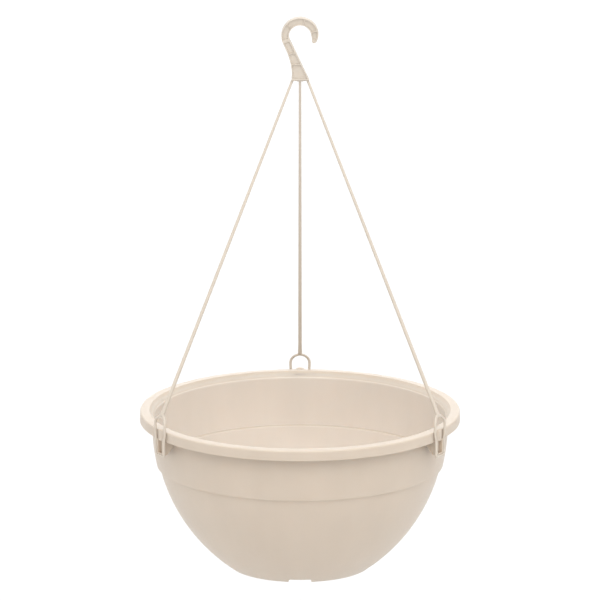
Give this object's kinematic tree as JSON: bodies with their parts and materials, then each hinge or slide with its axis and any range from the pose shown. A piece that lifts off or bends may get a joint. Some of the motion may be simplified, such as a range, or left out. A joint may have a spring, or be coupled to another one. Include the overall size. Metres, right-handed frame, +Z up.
{
  "type": "hanging basket",
  "caption": "Round moulded hanging planter with a rolled rim, a stepped bowl and a foot ring, carried by a one-piece hanger: a flat hook, straight strands and end loops that clip under the rim.",
  "frame": {"origin": "the hook's seat: the middle of the flat at the top of the hook's inner arc, on the bowl's axis", "axes": "+Z up along the bowl's axis, -Y towards the front, where one drain notch is; +X to the right, on the side the hook opens"},
  "size_m": [0.2808, 0.2825, 0.4944],
  "materials": {
    "bowl_plastic": "matte moulded polypropylene, warm cream",
    "hanger_plastic": "satin moulded polypropylene, warm cream"
  },
  "bodies": {
    "hanger_hook": {"hook": "hanger_plastic"},
    "basket_bowl": {"bowl": "bowl_plastic"},
    "back_strand": {"strand_back": "hanger_plastic"},
    "left_strand": {"strand_left": "hanger_plastic"},
    "right_strand": {"strand_right": "hanger_plastic"},
    "back_loop": {"loop_back": "hanger_plastic"},
    "left_loop": {"loop_left": "hanger_plastic"},
    "right_loop": {"loop_right": "hanger_plastic"}
  },
  "joints": [
    {"name": "bowl_lift", "type": "slide", "parent": "hanger_hook", "child": "basket_bowl", "axis": [0, 0, 1], "range_m": [0, 0.008]},
    {"name": "back_strand_swing", "type": "hinge", "parent": "hanger_hook", "child": "back_strand", "pos_m": [0, 0, -0.05111], "axis": [1, 0, 0], "range_deg": [0, 45]},
    {"name": "back_loop_unclip", "type": "hinge", "parent": "back_strand", "child": "back_loop", "pos_m": [0, 0.1386, -0.33326], "axis": [1, 0, 0], "range_deg": [0, 30]},
    {"name": "left_strand_swing", "type": "hinge", "parent": "hanger_hook", "child": "left_strand", "pos_m": [-0.0071, 0, -0.05111], "axis": [-0.5, 0.866, 0], "range_deg": [0, 45]},
    {"name": "left_loop_unclip", "type": "hinge", "parent": "left_strand", "child": "left_loop", "pos_m": [-0.12003, -0.0693, -0.33326], "axis": [-0.5, 0.866, 0], "range_deg": [0, 30]},
    {"name": "right_strand_swing", "type": "hinge", "parent": "hanger_hook", "child": "right_strand", "pos_m": [0.0071, 0, -0.05111], "axis": [-0.5, -0.866, 0], "range_deg": [0, 45]},
    {"name": "right_loop_unclip", "type": "hinge", "parent": "right_strand", "child": "right_loop", "pos_m": [0.12003, -0.0693, -0.33326], "axis": [-0.5, -0.866, 0], "range_deg": [0, 30]}
  ]
}
